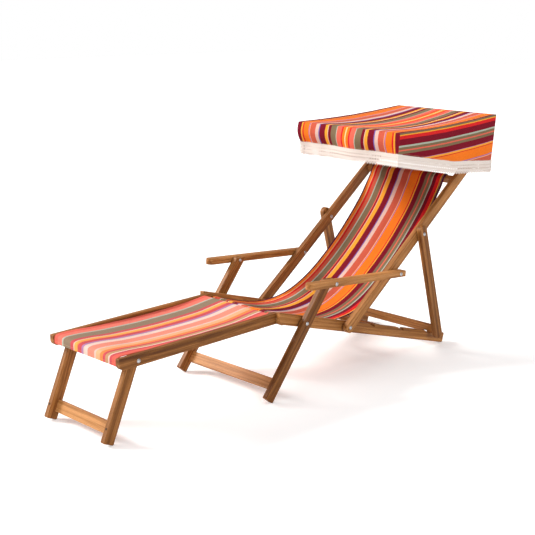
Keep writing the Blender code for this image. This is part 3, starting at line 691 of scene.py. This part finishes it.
# Lower edge of the drops: its heights at the front and the back, and the side's two bends
FRONT_DROP_Z, BACK_DROP_Z = 0.936, 0.846
MIDDLE_DROP = (0.871, 0.870)
LEVEL_FROM_Y = 1.177

# Stands for the way to the nearest edge where the cloth has no edge near
FAR_INSIDE = 0.05


def canopy_flare(y):
    """How far each side stands out at y: most at the front, and not at all behind."""
    t = min(max((y - CANOPY_FRONT) / CANOPY_RUN, 0.0), 1.0)
    return CANOPY_FLARE * (1.0 - t) ** 1.5


def canopy_bottom_z(y):
    """Height of the lower edge of the side at y."""
    y_mid, z_mid = MIDDLE_DROP
    if y < y_mid:
        return FRONT_DROP_Z + (z_mid - FRONT_DROP_Z) * (y - CANOPY_FRONT) / (y_mid - CANOPY_FRONT)
    if y < LEVEL_FROM_Y:
        return z_mid + (BACK_DROP_Z - z_mid) * (y - y_mid) / (LEVEL_FROM_Y - y_mid)
    return BACK_DROP_Z


def canopy_top_z(x, y):
    """Height of the top, which sags between its two bars and most in the middle."""
    t = (y - CANOPY_FRONT) / CANOPY_RUN
    z = CANOPY_FRONT_Z + (CANOPY_REAR_Z - CANOPY_FRONT_Z) * t
    t = min(max((t - CANOPY_FLAT_END) / (1 - 2 * CANOPY_FLAT_END), 0.0), 1.0)
    rise = 1.0 - (2.0 * t - 1.0) ** 2
    share = x / CANOPY_HALF_W
    depth = EDGE_SAG + MIDDLE_SAG * (1.0 - share * share)
    wave = TOP_WAVE * noise.noise(Vector((x * 7.0, y * 9.0, 3.0)))
    return z - rise * (depth + wave)


def nearness(way, reach):
    """1 at a place, falling away to 0 over about twice the reach."""
    return math.exp(-(way / reach) ** 2)


def hang(s, depth, total):
    """Point on the hanging part of the canopy, s metres round from the left front corner.

    The way round is front, right side, back, left side; depth is the way down the cloth.
    """
    w, run = CANOPY_W, CANOPY_RUN
    lap = 2 * (w + run)
    s = s % lap
    if s < w:
        x, y, out = -CANOPY_HALF_W + s, CANOPY_FRONT, Vector((0.0, -1.0, 0.0))
        corner = min(s, w - s)
    elif s < w + run:
        x, y, out = CANOPY_HALF_W, CANOPY_FRONT + s - w, Vector((1.0, 0.0, 0.0))
        corner = min(s - w, w + run - s)
    elif s < 2 * w + run:
        x, y, out = CANOPY_HALF_W - (s - w - run), CANOPY_REAR, Vector((0.0, 1.0, 0.0))
        corner = min(s - w - run, 2 * w + run - s)
    else:
        x, y, out = -CANOPY_HALF_W, CANOPY_REAR - (s - 2 * w - run), Vector((-1.0, 0.0, 0.0))
        corner = min(s - 2 * w - run, lap - s)
    top = canopy_top_z(x, y)
    down = depth / total
    free = ease(min(1.0, corner / CORNER_REACH))
    lean = min(down, 1.0)
    wave = DROP_WAVE * noise.noise(Vector((s * 7.5, depth * 5.0, 6.0))) * lean * free
    round_far = s if s < w else s - lap
    reach = min(1.0, (w - s) / BILLOW_REACH) if s < w else max(0.0, 1.0 + round_far / BILLOW_REACH)
    swell = 1.0 + 0.5 * noise.noise(Vector((round_far * 6.0, 3.0, 2.0)))
    billow = Vector((0.0, -FRONT_BILLOW * math.sin(math.pi * lean) * swell, 0.0))
    billow *= ease(reach)
    if abs(out.x) > 0:
        # The sides hang nearly flat, and hardly come in towards the arms
        wave = max(0.3 * wave, -0.001)
    (front_x, front_x_reach), (rear_x, rear_x_reach) = LEAN_ACROSS
    (front_y, front_y_reach), (rear_y, rear_y_reach) = LEAN_ALONG
    to_front, to_rear = y - CANOPY_FRONT, CANOPY_REAR - y
    corner_x = front_x * nearness(to_front, front_x_reach) + rear_x * nearness(to_rear, rear_x_reach)
    corner_y = front_y * nearness(to_front, front_y_reach) - rear_y * nearness(to_rear, rear_y_reach)
    sway = lean * min(1.0, abs(x) / CANOPY_HALF_W)
    shift = Vector((-math.copysign(corner_x, x) * sway + canopy_flare(y) * x / CANOPY_HALF_W,
                    corner_y * lean, 0.0))
    return Vector((x, y - MID_Y, top - depth)) + shift + out * wave + billow


def lap_marks():
    """Even places round the canopy, with one on each corner."""
    w, run = CANOPY_W, CANOPY_RUN
    marks, start = [], 0.0
    for span in (w, run, w, run):
        count = round(span / CANOPY_STEP)
        marks += [start + span * k / count for k in range(count)]
        start += span
    return marks, start


def place_of(s):
    """Position (x, y in the side view) of the canopy's rim at s."""
    w, run = CANOPY_W, CANOPY_RUN
    if s < w:
        return -CANOPY_HALF_W + s, CANOPY_FRONT
    if s < w + run:
        return CANOPY_HALF_W, CANOPY_FRONT + s - w
    if s < 2 * w + run:
        return CANOPY_HALF_W - (s - w - run), CANOPY_REAR
    return -CANOPY_HALF_W, CANOPY_REAR - (s - 2 * w - run)


def drop_of(s):
    """Depth of the hanging cloth at s."""
    x, y = place_of(s)
    return canopy_top_z(x, y) - canopy_bottom_z(y)


def build_canopy():
    """Top and four drops as one sheet, sewn at the corners."""
    w, run = CANOPY_W, CANOPY_RUN
    marks, lap = lap_marks()
    bm = bmesh.new()
    data = {}

    def vert(point, mark):
        v = bm.verts.new(point)
        data[v] = mark
        return v

    nx, ny = round(w / CANOPY_STEP), round(run / CANOPY_STEP)
    top = []
    for i in range(ny + 1):
        y = CANOPY_FRONT + run * i / ny
        flare = 1.0 + canopy_flare(y) / CANOPY_HALF_W
        row = []
        for j in range(nx + 1):
            x = -CANOPY_HALF_W + w * j / nx
            row.append(vert(side(y, canopy_top_z(x, y), x * flare), (0.0, 0.0, 0.0)))
        top.append(row)
    for i in range(ny):
        for j in range(nx):
            bm.faces.new((top[i][j], top[i][j + 1], top[i + 1][j + 1], top[i + 1][j]))
    spans = ((0.0, w, 0), (w, w + run, 1), (w + run, 2 * w + run, 0), (2 * w + run, lap, 1))
    for start, end, kind in spans:
        inside = [m for m in marks if start - 1e-9 <= m < end - 1e-9] + [end]
        grid = []
        for m in inside:
            total = drop_of(m % lap)
            x, y = place_of(m % lap)
            column = []
            for k in range(CANOPY_LEVELS + 1):
                depth = total * k / CANOPY_LEVELS
                across = (x + CANOPY_HALF_W) if kind == 0 else depth
                along = depth if kind == 0 else y
                mark = (across, along, max(total - depth, 0.0) if k else FAR_INSIDE)
                column.append(vert(hang(m, depth, total), mark))
            grid.append(column)
        for a, b in zip(grid, grid[1:]):
            for k in range(CANOPY_LEVELS):
                face = bm.faces.new((a[k], a[k + 1], b[k + 1], b[k]))
                face.material_index = kind
    order = list(bm.verts)
    bm.verts.index_update()
    mesh = bpy.data.meshes.new("canopy_cloth")
    bm.to_mesh(mesh)
    put_vectors(mesh, "cloth", [data[v] for v in order])
    bm.free()
    piece = link("canopy_cloth", mesh, (CANOPY_CLOTH, CANOPY_SIDE_CLOTH))
    weld = piece.modifiers.new("sewn", "WELD")
    weld.merge_threshold = WELD_GAP
    applied(piece)
    split_corner_marks(piece.data)
    skin = piece.modifiers.new("cloth", "SOLIDIFY")
    skin.thickness = CANOPY_THICK
    skin.offset = -1.0
    skin.use_even_offset = True
    applied(piece)
    smooth(piece.data, 50)
    return piece


def split_corner_marks(mesh):
    """Cloth marks for each face corner, so that the top and the sides have their own."""
    old = mesh.attributes["cloth"]
    marks = np.empty(len(mesh.vertices) * 3, dtype=np.float32)
    old.data.foreach_get("vector", marks)
    mesh.attributes.remove(old)
    points = np.empty(len(mesh.vertices) * 3)
    mesh.vertices.foreach_get("co", points)
    points = points.reshape(-1, 3)
    values = []
    for face in mesh.polygons:
        normal = face.normal
        for index in face.vertices:
            x, y, z = points[index]
            y_side = y + MID_Y
            if abs(normal.z) > 0.7:
                values.append((x + CANOPY_HALF_W, y_side, FAR_INSIDE))
                continue
            bottom = canopy_bottom_z(min(max(y_side, CANOPY_FRONT), CANOPY_REAR))
            edge = max(z - bottom, 0.0)
            rim_x = math.copysign(CANOPY_HALF_W, x) if face.material_index else x
            rim_y = min(max(y_side, CANOPY_FRONT), CANOPY_REAR)
            depth = max(canopy_top_z(rim_x, rim_y) - z, 0.0)
            if face.material_index:
                values.append((depth, y_side, edge))
            else:
                values.append((x + CANOPY_HALF_W, depth, edge))
    layer = mesh.attributes.new("cloth", "FLOAT_VECTOR", "CORNER")
    layer.data.foreach_set("vector", np.asarray(values, dtype=np.float32).ravel())


# One cell of the crochet edging: its pointed lower edge, the heights of its side points, and its
# openings, each with its middle (x, depth) and its two radii
CELL_W = 0.0134
FRINGE_LAP = 0.004
FRINGE_OUT = 0.0012
YARN_THICK = 0.0015
OPENING_STEPS = 10
LOWER_EDGE = ((0.0, 0.0485), (0.0018, 0.0508), (0.0036, 0.0540), (0.0052, 0.0572), (0.0067, 0.0585),
              (0.0082, 0.0572), (0.0098, 0.0540), (0.0116, 0.0508))
SIDE_DEPTHS = (0.0, 0.0095, 0.0190, 0.0265, 0.0340, 0.0410)
OPENINGS = ((0.0067, 0.0190, 0.0024, 0.0036), (0.0067, 0.0335, 0.0030, 0.0044),
            (0.0067, 0.0470, 0.0022, 0.0034))


def fringe_cell():
    """Flat points and triangles of one cell; the first and last columns match the next cell."""
    outline = [Vector((0.0, d, 0.0)) for d in SIDE_DEPTHS]
    outline += [Vector((x, d, 0.0)) for x, d in LOWER_EDGE]
    outline += [Vector((CELL_W, LOWER_EDGE[0][1], 0.0))]
    outline += [Vector((CELL_W, d, 0.0)) for d in SIDE_DEPTHS[::-1]]
    outline += [Vector((CELL_W / 2, 0.0, 0.0))]
    loops = [outline]
    for x, d, rx, rd in OPENINGS:
        loops.append([Vector((x + rx * math.cos(t), d + rd * math.sin(t), 0.0))
                      for t in (2 * math.pi * k / OPENING_STEPS for k in range(OPENING_STEPS))])
    points = [p for loop in loops for p in loop]
    return points, tessellate_polygon(loops)


def build_fringe():
    """The crochet edging, cell by cell round the canopy's lower edge."""
    w, run = CANOPY_W, CANOPY_RUN
    lap = 2 * (w + run)
    cell, triangles = fringe_cell()
    bm = bmesh.new()
    marks = {}
    start = 0.0
    for span in (w, run, w, run):
        count = round(span / CELL_W)
        scale = span / count / CELL_W
        for k in range(count):
            verts = []
            for p in cell:
                s = start + span * k / count + p.x * scale
                rim = s % lap if s < lap - 1e-7 else 0.0
                total = drop_of(rim)
                point = hang(s, total - FRINGE_LAP + p.y, total)
                point += fringe_out(*place_of(rim)) * FRINGE_OUT
                v = bm.verts.new(point)
                marks[v] = (s, p.y, 0.0)
                verts.append(v)
            for tri in triangles:
                bm.faces.new([verts[i] for i in tri])
        start += span
    order = list(bm.verts)
    mesh = bpy.data.meshes.new("canopy_crochet_edging")
    bm.to_mesh(mesh)
    put_vectors(mesh, "cloth", [marks[v] for v in order])
    bm.free()
    piece = link("canopy_crochet_edging", mesh, CROCHET)
    weld = piece.modifiers.new("joined", "WELD")
    weld.merge_threshold = WELD_GAP
    skin = piece.modifiers.new("yarn", "SOLIDIFY")
    skin.thickness = YARN_THICK
    skin.offset = 1.0
    applied(piece)
    smooth(piece.data, 50)
    return piece


def fringe_out(x, y):
    """Way out from the canopy's middle at a place on its rim."""
    out = Vector((0.0, 0.0, 0.0))
    if abs(abs(x) - CANOPY_HALF_W) < 1e-6:
        out.x = math.copysign(1.0, x)
    if abs(y - CANOPY_FRONT) < 1e-6:
        out.y = -1.0
    if abs(y - CANOPY_REAR) < 1e-6:
        out.y = 1.0
    return out


# ---------------------------------------------------------------- the chair

TIMBER_WORDS = ("rail", "bar", "stile", "leg", "armrest", "strut", "arm")
TURNED_WORDS = ("bolt", "nut", "pin")

make_camera()
WOOD = wood_material()
STEEL = steel_material()
SCREW = screw_material()
SLING_CLOTH = cloth_material("striped_canvas_seat", SLING_STRIPES, 2 * SLING_HALF_W)
# The footrest's stripes are paled towards ecru: a painted sheen
FOOT_CLOTH = cloth_material("striped_canvas_footrest", FOOT_STRIPES, 2 * FOOT_HALF_W, painted_sheen=0.12)
CANOPY_CLOTH = cloth_material("striped_canvas_canopy", CANOPY_HALF, 2 * CANOPY_HALF_W, True)
CANOPY_SIDE_CLOTH = cloth_material("striped_canvas_canopy_side", SIDE_STRIPES,
                                   sum(width for width, _ in SIDE_STRIPES) / 1000)
CROCHET = crochet_material()

BODY_OF = {name: body for body, names in frame["record"]["behaviour"]["bodies"].items() for name in names}
seed = 0
for name in sorted(NODES):
    body = BODY_OF[name]
    if any(word in name for word in TURNED_WORDS):
        turned_bolt(name, body)
    elif "screw" in name:
        for slot in NODES[name].material_slots:
            slot.material = SCREW
    elif any(word in name for word in TIMBER_WORDS) and "fringe" not in name:
        seed += 1
        eased_board(name, body, seed)

sling, sling_length = cloth_strip("sling_canvas", SLING_LINE, SLING_HALF_W, SLING_CLOTH, sling_shape)
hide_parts("sling")
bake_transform(sling)

foot, foot_length = cloth_strip("footrest_canvas", FOOT_LINE, FOOT_HALF_W, FOOT_CLOTH, foot_shape)
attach(foot, "footrest")
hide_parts("footrest_sling")

canopy = build_canopy()
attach(canopy, "canopy")
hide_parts("canopy_top", "canopy_side_left", "canopy_side_right", "canopy_front_valance",
            "canopy_back_valance")
edging = build_fringe()
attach(edging, "canopy")
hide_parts("fringe_side_left", "fringe_side_right", "fringe_front", "fringe_back")

# ---------------------------------------------------------------- floor and light

FLOOR_SIZE = 40.0
FLOOR_Z = -0.0006

bpy.ops.mesh.primitive_plane_add(size=FLOOR_SIZE, location=(0.0, 0.0, FLOOR_Z))
floor = bpy.context.object
floor.name = "studio_floor"
floor.data.materials.append(floor_material())


def sun(name, toward, strength, spread, colour=(1.0, 1.0, 1.0)):
    """Broad soft light from the way it is toward; spread is in degrees."""
    lamp = bpy.data.lights.new(name, "SUN")
    lamp.energy = strength
    lamp.angle = math.radians(spread)
    lamp.color = colour
    thing = bpy.data.objects.new(name, lamp)
    thing.matrix_world = Vector(toward).to_track_quat("Z", "Y").to_matrix().to_4x4()
    bpy.context.collection.objects.link(thing)


sun("key", (-0.78, -0.42, 0.50), 4.1, 22, (1.0, 0.985, 0.96))
sun("right", (0.92, -0.28, 0.30), 0.95, 20)
sun("top", (0.0, -0.20, 0.98), 1.0, 60)

# The world lights the chair less than it shows behind it
SKY_LIGHT, SKY_SEEN = 0.36, 1.0
world = bpy.data.worlds.new("studio")
world.use_nodes = True
tree = world.node_tree
sky = tree.nodes["Background"]
sky.inputs["Color"].default_value = (1.0, 1.0, 1.0, 1.0)
seen = tree.nodes.new("ShaderNodeLightPath")
strength = tree.nodes.new("ShaderNodeMapRange")
tree.links.new(seen.outputs["Is Camera Ray"], strength.inputs["Value"])
strength.inputs["To Min"].default_value = SKY_LIGHT
strength.inputs["To Max"].default_value = SKY_SEEN
tree.links.new(strength.outputs["Result"], sky.inputs["Strength"])
bpy.context.scene.world = world
